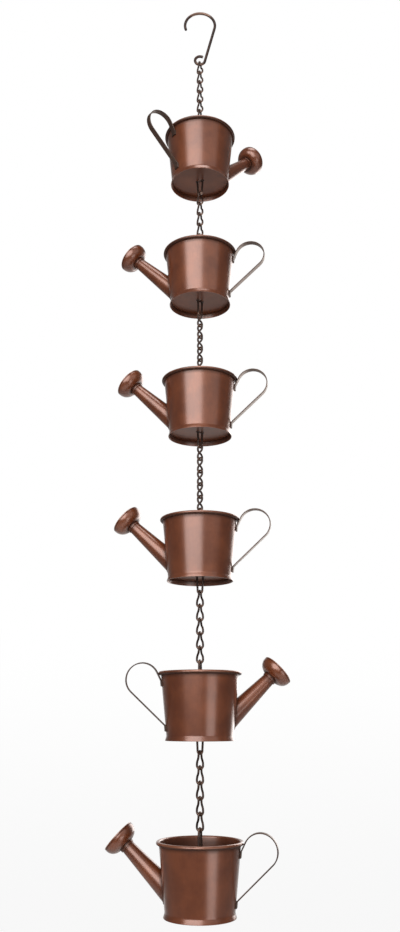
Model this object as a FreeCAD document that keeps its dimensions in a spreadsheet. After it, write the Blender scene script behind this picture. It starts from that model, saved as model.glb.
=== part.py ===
import FreeCAD, Part
import math
import os

import Sketcher
from FreeCAD import Placement, Rotation, Vector

# A rain chain: a wire hook, runs of twisted wire links and six small watering cans, hanging straight down.
# Millimetres and degrees, +Z up. The origin is where the hook bears on what it hangs from.
SIZES = {
    # The sheet-metal tub of a can
    "rim_diameter": 76,
    "bead_diameter": 3.2,
    "can_height": 60,
    "waist_diameter": 60,
    "waist_height": 4,
    "waist_bend": 4,
    "foot_diameter": 62.5,
    "sheet_thickness": 0.7,
    "solder_gap": 0.2,
    "drain_diameter": 4,
    # The spout, measured along its axis from the wall
    "spout_height": 24,
    "spout_angle": 43,
    "spout_length": 46,
    "spout_root_diameter": 17.7,
    "spout_tip_diameter": 11.4,
    "spout_root_depth": 14,
    # The rose on the spout's end
    "rose_diameter": 31,
    "rose_sleeve": 2.4,
    "rose_lip": 1.6,
    "rose_fit": 0.1,
    "face_recess": 0.4,
    "face_hole_diameter": 1.6,
    "inner_ring_radius": 4.6,
    "inner_ring_holes": 6,
    "outer_ring_radius": 9.4,
    "outer_ring_holes": 12,
    # The strap handle, opposite the spout
    "handle_bend_radius": 14.7,
    "handle_bend_reach": 52.5,
    "handle_bend_drop": 7.6,
    "strap_thickness": 1,
    "strap_width": 6,
    "handle_top_drop": 16,
    "handle_foot_height": 11,
    "handle_root_depth": 2,
    "tab_length": 5,
    # The wire bail inside a can and the eye under its floor
    "bail_wire": 2,
    "bail_span": 4.6,
    "bail_splay": 3,
    "bail_rise": 10,
    "eye_drop": 11,
    # The twisted chain links
    "link_wire": 2,
    "link_width": 8,
    "link_length": 17,
    "link_gap": 0.3,
    "first_run_links": 7,
    "run_links": 5,
    # The hook
    "hook_wire": 3,
    "hook_radius": 17,
    "hook_sweep": 212,
    "hook_drop": 48,
    "hook_eye_radius": 5.5,
    "hook_eye_sweep": 290,
    # How far each can's spout is turned from +X
    "can_1_turn": 37,
    "can_2_turn": 170,
    "can_3_turn": 170,
    "can_4_turn": 170,
    "can_5_turn": 10,
    "can_6_turn": 170,
    # How far the flat of each run of links is turned from the front
    "run_1_turn": 25,
    "run_2_turn": 20,
    "run_3_turn": 90,
    "run_4_turn": 90,
    "run_5_turn": 25,
    "run_6_turn": 20,
}

CANS = range(1, 7)
UP = Vector(0, 0, 1)
FRONT = Vector(0, -1, 0)
# How far each end of a twisted link is turned from its middle
HALF_TWIST = 45

# Derived sizes, as expressions on the spreadsheet
RIM_RADIUS = "(Sizes.rim_diameter / 2)"
BEAD_RADIUS = "(Sizes.bead_diameter / 2)"
BEAD_LEVEL = f"(Sizes.can_height - {BEAD_RADIUS})"
WALL_TOP_INNER = f"({RIM_RADIUS} - Sizes.bead_diameter)"
WALL_TOP_OUTER = f"({WALL_TOP_INNER} + Sizes.sheet_thickness)"
WAIST_OUTER = "(Sizes.waist_diameter / 2)"
FOOT_OUTER = "(Sizes.foot_diameter / 2)"
BEAD_SINK = "sqrt((Sizes.bead_diameter - Sizes.sheet_thickness) * Sizes.sheet_thickness)"
UNDER_BEAD = f"({BEAD_LEVEL} - {BEAD_SINK})"
WALL_RISE = f"({UNDER_BEAD} - Sizes.waist_height)"
WALL_SLOPE = f"(({WALL_TOP_OUTER} - {WAIST_OUTER}) / {WALL_RISE})"
WALL_LEAN = f"atan({WALL_SLOPE})"
FOOT_LEAN = f"atan(({FOOT_OUTER} - {WAIST_OUTER}) / Sizes.waist_height)"
BEND_REACH = f"(Sizes.waist_bend * tan(({WALL_LEAN} + {FOOT_LEAN}) / 2))"
BEND_TOP = f"(Sizes.waist_height + {BEND_REACH} * cos({WALL_LEAN}))"
BEND_FOOT = f"(Sizes.waist_height - {BEND_REACH} * cos({FOOT_LEAN}))"
FLOOR_TOP = f"({BEND_TOP} + Sizes.sheet_thickness)"
SPOUT_TAPER = "((Sizes.spout_root_diameter - Sizes.spout_tip_diameter) / 2 / Sizes.spout_length)"
SPOUT_TIP = "(Sizes.spout_tip_diameter / 2)"
SPOUT_INNER_END = f"(Sizes.spout_root_diameter / 2 + {SPOUT_TAPER} * Sizes.spout_root_depth)"
SPOUT_FULL_LENGTH = "(Sizes.spout_length + Sizes.spout_root_depth)"
SLEEVE_INNER = f"({SPOUT_TIP} + {SPOUT_TAPER} * Sizes.rose_sleeve + Sizes.rose_fit)"
SLEEVE_OUTER = f"({SLEEVE_INNER} + Sizes.sheet_thickness)"
ROSE_RADIUS = "(Sizes.rose_diameter / 2)"
DOME_RADIUS = f"({ROSE_RADIUS} - {SLEEVE_OUTER})"
DOME_END = f"(Sizes.rose_sleeve + {DOME_RADIUS})"
ROSE_DEPTH = f"({DOME_END} + Sizes.rose_lip)"
FACE_RADIUS = f"({ROSE_RADIUS} - Sizes.sheet_thickness)"
BAIL_RADIUS = "(Sizes.bail_span / 2)"
LINK_BEND = "((Sizes.link_width - Sizes.link_wire) / 2)"
LINK_SIDE = "(Sizes.link_length - Sizes.link_width)"
LINK_PITCH = "(Sizes.link_length - 2 * Sizes.link_wire - Sizes.link_gap)"

doc = FreeCAD.newDocument("RainChain")
sheet = doc.addObject("Spreadsheet::Sheet", "Sizes")
for row, (alias, number) in enumerate(SIZES.items(), start=1):
    sheet.set(f"A{row}", alias)
    sheet.set(f"B{row}", str(number))
    sheet.setAlias(f"B{row}", alias)
doc.recompute()

nodes = []


def value(expression):
    result = sheet.evalExpression(expression)
    return float(getattr(result, "Value", result))


def size(alias):
    return value(f"Sizes.{alias}")


def wall_radius(height):
    """Outside radius of the tapered wall at a height above the foot, as an expression."""
    return f"({WAIST_OUTER} + {WALL_SLOPE} * ({height} - Sizes.waist_height))"


def bind(item, **expressions):
    for name, expression in expressions.items():
        item.setExpression(name, str(expression))
    return item


def primitive(kind, name, place, **expressions):
    """A Part primitive whose sizes are bound to the spreadsheet."""
    item = doc.addObject(f"Part::{kind}", name)
    bind(item, **expressions)
    item.Placement = place
    return item


def cut(name, base, tool):
    item = doc.addObject("Part::Cut", name)
    item.Base = base
    item.Tool = tool
    return item


def fuse(name, pieces):
    item = doc.addObject("Part::MultiFuse", name)
    item.Shapes = pieces
    item.Refine = True
    return item


def new_sketch(body, name, role):
    sketch = body.newObject("Sketcher::SketchObject", name)
    plane = next(feature for feature in body.Origin.OriginFeatures if feature.Role == role)
    sketch.AttachmentSupport = (plane, [""])
    sketch.MapMode = "FlatFace"
    return sketch


def fix_point(sketch, edge, end, x, y):
    """Ties one end of a sketch edge to two expressions, both measured from the sketch's origin."""
    for kind, expression in (("DistanceX", x), ("DistanceY", y)):
        constraint = Sketcher.Constraint(kind, -1, 1, edge, end, value(expression))
        index = sketch.addConstraint(constraint)
        sketch.setExpression(f"Constraints[{index}]", str(expression))


def fix_radius(sketch, edge, radius):
    index = sketch.addConstraint(Sketcher.Constraint("Radius", edge, value(radius)))
    sketch.setExpression(f"Constraints[{index}]", str(radius))


def arc(centre, radius, start, end):
    """An arc that turns anticlockwise from one point to another."""
    angles = [math.atan2(point.y - centre.y, point.x - centre.x) for point in (start, end)]
    return Part.ArcOfCircle(Part.Circle(centre, UP, radius), *angles)


def draw_outline(sketch, corners, arcs):
    """A closed outline through corners. arcs gives the edges that are round: centre, radius and sense."""
    points = [Vector(value(x), value(y), 0) for x, y in corners]
    ends = []
    for index, start in enumerate(points):
        finish = points[(index + 1) % len(points)]
        if index in arcs:
            x, y, radius, anticlockwise = arcs[index]
            centre = Vector(value(x), value(y), 0)
            pair = (start, finish) if anticlockwise else (finish, start)
            sketch.addGeometry(arc(centre, value(radius), *pair))
            ends.append((1, 2) if anticlockwise else (2, 1))
        else:
            sketch.addGeometry(Part.LineSegment(start, finish))
            ends.append((1, 2))
    for index, (x, y) in enumerate(corners):
        before = index - 1 if index else len(corners) - 1
        joint = Sketcher.Constraint("Coincident", before, ends[before][1], index, ends[index][0])
        sketch.addConstraint(joint)
        fix_point(sketch, index, ends[index][0], x, y)
        if index in arcs:
            fix_radius(sketch, index, arcs[index][2])


def revolved(name, place, corners, arcs):
    """A sheet-metal piece spun about its own Z axis from a section in its XZ plane."""
    body = doc.addObject("PartDesign::Body", name)
    sketch = new_sketch(body, name + "_section", "XZ_Plane")
    draw_outline(sketch, corners, arcs)
    spin = body.newObject("PartDesign::Revolution", name + "_spin")
    spin.Profile = sketch
    spin.ReferenceAxis = (sketch, ["V_Axis"])
    spin.Angle = 360
    body.Placement = place
    return body


def make_shell(name, place):
    """The tub: flared foot, waist, tapered wall and a rolled bead round the rim."""
    gauge = "Sizes.sheet_thickness"
    bend_top = wall_radius(BEND_TOP)
    bend_foot = f"({WAIST_OUTER} + {BEND_REACH} * sin({FOOT_LEAN}))"
    bend_centre = f"({bend_top} + Sizes.waist_bend * cos({WALL_LEAN}))"
    bend_level = f"({BEND_TOP} - Sizes.waist_bend * sin({WALL_LEAN}))"
    corners = [
        (FOOT_OUTER, "0"),
        (bend_foot, BEND_FOOT),
        (bend_top, BEND_TOP),
        (WALL_TOP_OUTER, UNDER_BEAD),
        (WALL_TOP_INNER, BEAD_LEVEL),
        (f"({bend_top} - {gauge})", BEND_TOP),
        (f"({bend_foot} - {gauge})", BEND_FOOT),
        (f"({FOOT_OUTER} - {gauge})", "0"),
    ]
    arcs = {
        1: (bend_centre, bend_level, "Sizes.waist_bend", False),
        3: (f"({RIM_RADIUS} - {BEAD_RADIUS})", BEAD_LEVEL, BEAD_RADIUS, True),
        5: (f"({bend_centre} - {gauge})", bend_level, "Sizes.waist_bend", True),
    }
    return revolved(name, place, corners, arcs)


def make_floor(name, place):
    """A disc soldered in just above the bend of the waist, with a drain hole."""
    inset = "Sizes.sheet_thickness - Sizes.solder_gap"
    level = place * Placement(Vector(0, 0, value(BEND_TOP)), Rotation())
    disc = primitive(
        "Cone",
        name + "_disc",
        level,
        Radius1=f"{wall_radius(BEND_TOP)} - {inset}",
        Radius2=f"{wall_radius(FLOOR_TOP)} - {inset}",
        Height="Sizes.sheet_thickness",
    )
    drain = primitive(
        "Cylinder",
        name + "_drain",
        level,
        Radius="Sizes.drain_diameter / 2",
        Height="Sizes.sheet_thickness",
    )
    return cut(name, disc, drain)


def make_wall_core(name, place, growth):
    """The space inside the wall's outer face, grown outwards, which trims what is soldered to the wall."""
    level = place * Placement(Vector(0, 0, size("waist_height")), Rotation())
    return primitive(
        "Cone",
        name,
        level,
        Radius1=f"{WAIST_OUTER} + {growth}",
        Radius2=f"{WALL_TOP_OUTER} + {growth}",
        Height=WALL_RISE,
    )


def spout_frame(place):
    """The frame of the spout: its origin where its axis meets the wall, its Z along the spout."""
    root = Vector(value(wall_radius("Sizes.spout_height")), 0, size("spout_height"))
    lean = Rotation(Vector(0, 1, 0), 90 - size("spout_angle"))
    return place * Placement(root, lean)


def make_spout(name, place, core):
    """A tapered tube, trimmed to the wall."""
    start = spout_frame(place) * Placement(Vector(0, 0, -size("spout_root_depth")), Rotation())
    outside = primitive(
        "Cone",
        name + "_outside",
        start,
        Radius1=SPOUT_INNER_END,
        Radius2=SPOUT_TIP,
        Height=SPOUT_FULL_LENGTH,
    )
    inside = primitive(
        "Cone",
        name + "_inside",
        start,
        Radius1=f"{SPOUT_INNER_END} - Sizes.sheet_thickness",
        Radius2=f"{SPOUT_TIP} - Sizes.sheet_thickness",
        Height=SPOUT_FULL_LENGTH,
    )
    return cut(name, cut(name + "_tube", outside, inside), core)


def rose_frame(place):
    """The frame of the rose: its sleeve starts short of the spout's tip by its own length."""
    along = size("spout_length") - size("rose_sleeve")
    return spout_frame(place) * Placement(Vector(0, 0, along), Rotation())


def make_rose(name, place):
    """The domed back of the rose, with a sleeve over the spout's tip and a straight lip."""
    corners = [
        (SLEEVE_OUTER, "0"),
        (SLEEVE_OUTER, "Sizes.rose_sleeve"),
        (ROSE_RADIUS, DOME_END),
        (ROSE_RADIUS, ROSE_DEPTH),
        (FACE_RADIUS, ROSE_DEPTH),
        (FACE_RADIUS, DOME_END),
        (SLEEVE_OUTER, "Sizes.rose_sleeve + Sizes.sheet_thickness"),
        (SLEEVE_INNER, "Sizes.rose_sleeve + Sizes.sheet_thickness"),
        (SLEEVE_INNER, "0"),
    ]
    arcs = {
        1: (SLEEVE_OUTER, DOME_END, DOME_RADIUS, True),
        5: (SLEEVE_OUTER, DOME_END, f"({DOME_RADIUS} - Sizes.sheet_thickness)", False),
    }
    return revolved(name, rose_frame(place), corners, arcs)


def drill_ring(body, name, radius, count):
    """One hole through the face plate at a radius, patterned round the plate's axis."""
    sketch = new_sketch(body, name + "_sketch", "XY_Plane")
    centre = Vector(value(radius), 0, 0)
    sketch.addGeometry(Part.Circle(centre, UP, size("face_hole_diameter") / 2))
    fix_point(sketch, 0, 3, radius, "0")
    fix_radius(sketch, 0, "Sizes.face_hole_diameter / 2")
    hole = body.newObject("PartDesign::Pocket", name)
    hole.Profile = sketch
    hole.Type = "ThroughAll"
    hole.Midplane = True
    ring = body.newObject("PartDesign::PolarPattern", name + "_ring")
    ring.Originals = [hole]
    ring.Axis = (sketch, ["N_Axis"])
    ring.Angle = 360
    ring.Occurrences = int(size(count))
    body.Tip = ring


def make_face(name, place):
    """The perforated plate that closes the rose, set just inside its lip."""
    depth = value(ROSE_DEPTH) - size("face_recess") - size("sheet_thickness")
    body = doc.addObject("PartDesign::Body", name)
    sketch = new_sketch(body, name + "_outline", "XY_Plane")
    sketch.addGeometry(Part.Circle(Vector(0, 0, 0), UP, value(FACE_RADIUS)))
    sketch.addConstraint(Sketcher.Constraint("Coincident", 0, 3, -1, 1))
    fix_radius(sketch, 0, FACE_RADIUS)
    plate = body.newObject("PartDesign::Pad", name + "_plate")
    plate.Profile = sketch
    bind(plate, Length="Sizes.sheet_thickness")
    drill_ring(body, name + "_inner", "Sizes.inner_ring_radius", "inner_ring_holes")
    drill_ring(body, name + "_outer", "Sizes.outer_ring_radius", "outer_ring_holes")
    body.Placement = rose_frame(place) * Placement(Vector(0, 0, depth), Rotation())
    return body


def touch_angle(point, centre, radius, side):
    """Direction from a circle's centre to where a line from a point outside touches the circle."""
    gap = centre - point
    to_centre = math.atan2(gap.y, gap.x)
    lean = math.asin(radius / gap.Length)
    return to_centre + side * (lean + math.pi / 2)


def wall_crossing(start, end):
    """The height at which a straight line, seen from the side, meets the solder on the wall."""
    slope = value(WALL_SLOPE)
    depth = value(wall_radius(f"{start.y}")) + size("solder_gap") - start.x
    share = depth / (end.x - start.x - slope * (end.y - start.y))
    return start.y + share * (end.y - start.y)


def draw_strap(sketch):
    """The strap seen from the side: a bend with a straight leg from each end of it into the wall.
    Returns the lowest height at which each leg meets the wall."""
    bend_height = "(Sizes.can_height - Sizes.handle_bend_drop)"
    thickness = size("strap_thickness")
    inner_radius = "(Sizes.handle_bend_radius - Sizes.strap_thickness / 2)"
    outer_radius = "(Sizes.handle_bend_radius + Sizes.strap_thickness / 2)"
    centre = Vector(size("handle_bend_reach"), value(bend_height), 0)
    heights = ("(Sizes.can_height - Sizes.handle_top_drop)", "Sizes.handle_foot_height")
    roots = [(f"({wall_radius(height)} - Sizes.handle_root_depth)", height) for height in heights]
    edges = {"inner": [], "outer": []}
    for (x, y), side in zip(roots, (1, -1)):
        root = Vector(value(x), value(y), 0)
        angle = touch_angle(root, centre, value(inner_radius), side)
        normal = Vector(math.cos(angle), math.sin(angle), 0)
        touch = centre + normal * value(inner_radius)
        edges["inner"].append((root, touch))
        edges["outer"].append((root + normal * thickness, touch + normal * thickness))
    for face, radius in (("inner", inner_radius), ("outer", outer_radius)):
        top, foot = edges[face]
        sketch.addGeometry(arc(centre, value(radius), foot[1], top[1]))
        sketch.addGeometry(Part.LineSegment(*top))
        sketch.addGeometry(Part.LineSegment(*foot))
    for leg in (0, 1):
        sketch.addGeometry(Part.LineSegment(edges["inner"][leg][0], edges["outer"][leg][0]))
    inner_arc, inner_top, inner_foot, outer_arc, outer_top, outer_foot, top_end, foot_end = range(8)
    fix_point(sketch, inner_arc, 3, "Sizes.handle_bend_reach", bend_height)
    fix_radius(sketch, inner_arc, inner_radius)
    fix_radius(sketch, outer_arc, outer_radius)
    rules = [("Coincident", inner_arc, 3, outer_arc, 3)]
    rules += [("Tangent", inner_arc, 2, inner_top, 2), ("Tangent", outer_arc, 2, outer_top, 2)]
    rules += [("Tangent", inner_arc, 1, inner_foot, 2), ("Tangent", outer_arc, 1, outer_foot, 2)]
    rules += [("Parallel", inner_top, outer_top), ("Parallel", inner_foot, outer_foot)]
    rules += [("Coincident", top_end, 1, inner_top, 1), ("Coincident", top_end, 2, outer_top, 1)]
    rules += [("Coincident", foot_end, 1, inner_foot, 1), ("Coincident", foot_end, 2, outer_foot, 1)]
    rules += [("Perpendicular", top_end, inner_top), ("Perpendicular", foot_end, inner_foot)]
    for rule in rules:
        sketch.addConstraint(Sketcher.Constraint(*rule))
    for edge, (x, y) in zip((inner_top, inner_foot), roots):
        fix_point(sketch, edge, 1, x, y)
    return [min(wall_crossing(*edges[face][leg]) for face in edges) for leg in (0, 1)]


def make_tab(name, band, place, crossing):
    """The end of the strap, bent down flat against the wall below where its leg comes in."""
    corner = Vector(-size("rim_diameter") / 2, -size("strap_width") / 2, crossing - size("tab_length"))
    block = primitive(
        "Box",
        name + "_block",
        place * Placement(corner, Rotation()),
        Length=RIM_RADIUS,
        Width="Sizes.strap_width",
        Height="Sizes.tab_length + Sizes.strap_thickness",
    )
    tab = doc.addObject("Part::Common", name)
    tab.Base = band
    tab.Tool = block
    return tab


def make_handle(name, place, core):
    """A flat strap, bent on edge, with an end at each root that lies flat on the wall."""
    body = doc.addObject("PartDesign::Body", name + "_strap")
    sketch = new_sketch(body, name + "_side", "XZ_Plane")
    crossings = draw_strap(sketch)
    strap = body.newObject("PartDesign::Pad", name + "_pad")
    strap.Profile = sketch
    strap.Midplane = True
    bind(strap, Length="Sizes.strap_width")
    body.Placement = place * Placement(Vector(0, 0, 0), Rotation(UP, 180))
    sleeve = make_wall_core(name + "_sleeve", place, "Sizes.solder_gap + Sizes.strap_thickness")
    band = cut(name + "_band", sleeve, core)
    pieces = [cut(name + "_legs", body, core)]
    for end, crossing in zip(("top", "foot"), crossings):
        pieces.append(make_tab(f"{name}_{end}_tab", band, place, crossing))
    return fuse(name, pieces)


def ring_piece(name, place, start_angle, sweep, radius, wire):
    """A stretch of wire bent about the Y axis of its frame, anticlockwise as seen from the front."""
    angle = math.radians(start_angle)
    start = Vector(math.cos(angle), 0, math.sin(angle))
    turn = Rotation(start, FRONT.cross(start), FRONT, "ZXY")
    return primitive(
        "Torus",
        name,
        place * Placement(Vector(0, 0, 0), turn),
        Radius1=radius,
        Radius2=f"{wire} / 2",
        Angle3=sweep,
    )


def make_staple(name, place, drop):
    """An arch of wire, its crown at the origin of its frame and its flat in XZ. Its legs spread a little
    on their way down and are trimmed flat at a depth below the crown."""
    radius = value(BAIL_RADIUS)
    splay = math.radians(size("bail_splay"))
    centre = place * Placement(Vector(0, 0, -radius), Rotation())
    sweep = "180 - 2 * Sizes.bail_splay"
    pieces = [ring_piece(name + "_arch", centre, size("bail_splay"), sweep, BAIL_RADIUS, "Sizes.bail_wire")]
    for side in (-1, 1):
        start = Vector(side * math.cos(splay), 0, math.sin(splay)) * radius
        heading = Vector(side * math.sin(splay), 0, -math.cos(splay))
        leg = primitive(
            "Cylinder",
            f"{name}_leg_{side + 2}",
            centre * Placement(start, Rotation(UP, heading)),
            Radius="Sizes.bail_wire / 2",
            Height=f"{drop} / cos(Sizes.bail_splay)",
        )
        pieces.append(leg)
    spare = primitive(
        "Cylinder",
        name + "_spare",
        place * Placement(Vector(0, 0, -value(drop) - size("bail_span")), Rotation()),
        Radius=RIM_RADIUS,
        Height="Sizes.bail_span",
    )
    return cut(name, fuse(name + "_wire", pieces), spare)


def bent_wire(centre, start, axis, angle, wire):
    """A round wire bent about an axis, from the middle of its first end."""
    heading = axis.cross(start - centre)
    disc = Part.Face(Part.Wire(Part.makeCircle(wire / 2, start, heading)))
    return disc.revolve(centre, axis, angle)


def link_shape():
    """A twisted link, its middle at the origin: two half-round ends a quarter turn apart, joined by two
    sides that each bow over in a flat S of two equal arcs, so that every bend runs on into the next."""
    wire = size("link_wire")
    bend = value(LINK_BEND)
    half_side = value(LINK_SIDE) / 2
    shift = bend / math.sqrt(2)
    bow = (half_side**2 + shift**2) / (2 * shift)
    bow_angle = math.degrees(math.asin(half_side / bow))
    pieces = []
    for end in (-1, 1):
        middle = Vector(0, 0, end * half_side)
        first = Vector(shift, end * shift, end * half_side)
        axis = Vector(end * shift, -shift, 0).normalize() * end
        pieces.append(bent_wire(middle, first, axis, 180, wire))
        for side in (-1, 1):
            foot = Vector(side * shift, side * end * shift, end * half_side)
            centre = foot - Vector(0, side * end * bow, 0)
            pieces.append(bent_wire(centre, foot, Vector(-side, 0, 0), bow_angle, wire))
    return pieces[0].fuse(pieces[1:]).removeSplitter()


def make_run(name, link, top, turn, count):
    """A run of links, its first link's top bend centred at a height."""
    half = (size("link_length") - size("link_wire")) / 2
    links = []
    for index in range(count):
        copy = link.copy()
        height = top - half - index * value(LINK_PITCH)
        copy.Placement = Placement(Vector(0, 0, height), Rotation(UP, turn))
        links.append(copy)
    run = doc.addObject("Part::Feature", name)
    run.Shape = Part.makeCompound(links)
    return run


def hook_eye_centre():
    bearing = size("hook_radius") - size("hook_wire") / 2
    return Vector(0, 0, -bearing - size("hook_drop"))


def make_hook(name):
    """A C that bears at the origin, a shank that touches both rounds, and an eye right below."""
    radius = size("hook_radius")
    eye_radius = size("hook_eye_radius")
    eye = hook_eye_centre()
    bow = eye + Vector(0, 0, size("hook_drop"))
    lean = -math.degrees(math.asin((radius - eye_radius) / size("hook_drop")))
    side = Vector(math.cos(math.radians(lean)), 0, math.sin(math.radians(lean)))
    tip_angle = math.radians(lean + size("hook_sweep"))
    tip = bow + Vector(math.cos(tip_angle), 0, math.sin(tip_angle)) * radius
    shank_top = bow + side * radius
    shank_foot = eye + side * eye_radius
    shank_length = "sqrt(Sizes.hook_drop ^ 2 - (Sizes.hook_radius - Sizes.hook_eye_radius) ^ 2)"
    pieces = [
        ring_piece(
            name + "_bow",
            Placement(bow, Rotation()),
            lean,
            "Sizes.hook_sweep",
            "Sizes.hook_radius",
            "Sizes.hook_wire",
        ),
        primitive(
            "Cylinder",
            name + "_shank",
            Placement(shank_foot, Rotation(UP, shank_top - shank_foot)),
            Radius="Sizes.hook_wire / 2",
            Height=shank_length,
        ),
        ring_piece(
            name + "_eye",
            Placement(eye, Rotation()),
            lean - size("hook_eye_sweep"),
            "Sizes.hook_eye_sweep",
            "Sizes.hook_eye_radius",
            "Sizes.hook_wire",
        ),
        primitive("Sphere", name + "_tip", Placement(tip, Rotation()), Radius="Sizes.hook_wire / 2"),
    ]
    return fuse(name, pieces)


def make_can(number, foot):
    """One can and its fixed hardware, with its foot at a height."""
    name = f"can_{number}"
    place = Placement(Vector(0, 0, foot), Rotation(UP, size(f"{name}_turn")))
    core = make_wall_core(name + "_core", place, "Sizes.solder_gap")
    nodes.append(make_shell(name + "_shell", place))
    nodes.append(make_floor(name + "_floor", place))
    nodes.append(make_spout(name + "_spout", place, core))
    nodes.append(make_rose(name + "_rose", place))
    nodes.append(make_face(name + "_rose_face", place))
    nodes.append(make_handle(name + "_handle", place, core))
    across = Rotation(UP, size(f"run_{number}_turn") + HALF_TWIST)
    peak = Vector(0, 0, foot + value("Sizes.can_height + Sizes.bail_rise"))
    drop = f"(Sizes.can_height + Sizes.bail_rise - {FLOOR_TOP})"
    nodes.append(make_staple(name + "_bail", Placement(peak, across), drop))
    if number == CANS[-1]:
        return
    across = Rotation(UP, size(f"run_{number + 1}_turn") - HALF_TWIST) * Rotation(Vector(1, 0, 0), 180)
    trough = Vector(0, 0, foot - size("eye_drop"))
    drop = f"(Sizes.eye_drop + {BEND_TOP})"
    nodes.append(make_staple(name + "_eye", Placement(trough, across), drop))


def make_rain_chain():
    nodes.append(make_hook("hook"))
    link = link_shape()
    support = hook_eye_centre().z - size("hook_eye_radius")
    support_wire = size("hook_wire")
    for number in CANS:
        count = int(size("first_run_links" if number == CANS[0] else "run_links"))
        top = support + (support_wire + size("link_wire")) / 2 + size("link_gap")
        nodes.append(make_run(f"chain_run_{number}", link, top, size(f"run_{number}_turn"), count))
        lowest = top - size("link_length") + size("link_wire") - (count - 1) * value(LINK_PITCH)
        peak = lowest + (size("link_wire") + size("bail_wire")) / 2 + size("link_gap")
        foot = peak - size("bail_rise") - size("can_height")
        make_can(number, foot)
        support = foot - size("eye_drop")
        support_wire = size("bail_wire")


make_rain_chain()
doc.recompute()
for item in doc.Objects:
    if "Invalid" in item.State or "Error" in item.State:
        raise RuntimeError(f"{item.Label} did not build: {item.State}")
for node in nodes:
    if node.Shape.isNull() or not node.Shape.isValid():
        raise RuntimeError(f"{node.Label} has no sound shape")
os.makedirs("parts", exist_ok=True)
for node in nodes:
    node.Shape.exportStep(f"parts/{node.Label}.step")
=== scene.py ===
import math

import bmesh
import bpy
from mathutils import Matrix, Vector


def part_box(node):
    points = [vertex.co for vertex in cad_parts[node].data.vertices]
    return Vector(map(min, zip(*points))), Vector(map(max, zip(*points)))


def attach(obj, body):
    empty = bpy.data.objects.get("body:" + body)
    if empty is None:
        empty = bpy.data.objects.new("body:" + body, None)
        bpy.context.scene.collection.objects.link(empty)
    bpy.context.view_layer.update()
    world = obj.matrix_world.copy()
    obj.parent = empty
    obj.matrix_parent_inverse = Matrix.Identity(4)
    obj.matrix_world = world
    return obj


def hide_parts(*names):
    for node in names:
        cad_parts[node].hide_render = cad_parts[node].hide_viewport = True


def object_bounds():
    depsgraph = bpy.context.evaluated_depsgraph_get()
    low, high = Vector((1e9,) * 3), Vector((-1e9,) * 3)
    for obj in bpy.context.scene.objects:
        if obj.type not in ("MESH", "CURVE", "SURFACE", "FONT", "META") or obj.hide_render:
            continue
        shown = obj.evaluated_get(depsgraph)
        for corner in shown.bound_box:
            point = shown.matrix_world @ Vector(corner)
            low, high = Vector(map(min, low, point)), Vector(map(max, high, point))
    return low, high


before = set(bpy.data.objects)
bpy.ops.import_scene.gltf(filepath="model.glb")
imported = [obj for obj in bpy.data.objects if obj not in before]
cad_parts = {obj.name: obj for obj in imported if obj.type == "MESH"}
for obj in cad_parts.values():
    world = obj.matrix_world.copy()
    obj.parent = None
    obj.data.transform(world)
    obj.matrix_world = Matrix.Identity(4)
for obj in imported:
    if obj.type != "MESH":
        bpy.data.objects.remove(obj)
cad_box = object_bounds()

MM = 0.001
CANS = range(1, 7)

# The tub, with heights above its foot
RIM_RADIUS = 38 * MM
BEAD_RADIUS = 1.6 * MM
CAN_HEIGHT = 60 * MM
WAIST_RADIUS = 30 * MM
WAIST_HEIGHT = 4 * MM
FOOT_RADIUS = 31.25 * MM
SHEET = 0.7 * MM
SOLDER_GAP = 0.2 * MM
BEAD_LEVEL = CAN_HEIGHT - BEAD_RADIUS
WALL_TOP_INNER = RIM_RADIUS - 2 * BEAD_RADIUS
WALL_TOP = WALL_TOP_INNER + SHEET
UNDER_BEAD = BEAD_LEVEL - math.sqrt((2 * BEAD_RADIUS - SHEET) * SHEET)
WALL_SLOPE = (WALL_TOP - WAIST_RADIUS) / (UNDER_BEAD - WAIST_HEIGHT)
WAIST_BEND = 4 * MM
WALL_LEAN = math.atan(WALL_SLOPE)
FOOT_LEAN = math.atan((FOOT_RADIUS - WAIST_RADIUS) / WAIST_HEIGHT)
BEND_TOP = WAIST_HEIGHT + WAIST_BEND * math.tan((WALL_LEAN + FOOT_LEAN) / 2) * math.cos(WALL_LEAN)

# The spout and its rose
SPOUT_HEIGHT = 24 * MM
SPOUT_ANGLE = math.radians(43)
SPOUT_LENGTH = 46 * MM
SPOUT_ROOT = 8.85 * MM
SPOUT_TIP = 5.7 * MM
SPOUT_TAPER = (SPOUT_ROOT - SPOUT_TIP) / SPOUT_LENGTH
ROSE_RADIUS = 15.5 * MM
ROSE_SLEEVE = 2.4 * MM
ROSE_LIP = 1.6 * MM
SLEEVE_INNER = SPOUT_TIP + SPOUT_TAPER * ROSE_SLEEVE + 0.1 * MM
SLEEVE_OUTER = SLEEVE_INNER + SHEET
DOME_RADIUS = ROSE_RADIUS - SLEEVE_OUTER
DOME_END = ROSE_SLEEVE + DOME_RADIUS

# The strap handle
BEND_RADIUS = 14.7 * MM
BEND_REACH = 52.5 * MM
BEND_LEVEL = CAN_HEIGHT - 7.6 * MM
STRAP = 1 * MM
STRAP_WIDTH = 6 * MM
HANDLE_TOP = CAN_HEIGHT - 16 * MM
HANDLE_FOOT = 11 * MM
HANDLE_ROOT_DEPTH = 2 * MM
TAB_LENGTH = 5 * MM
TAB_BEND = 1.4 * MM

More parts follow.
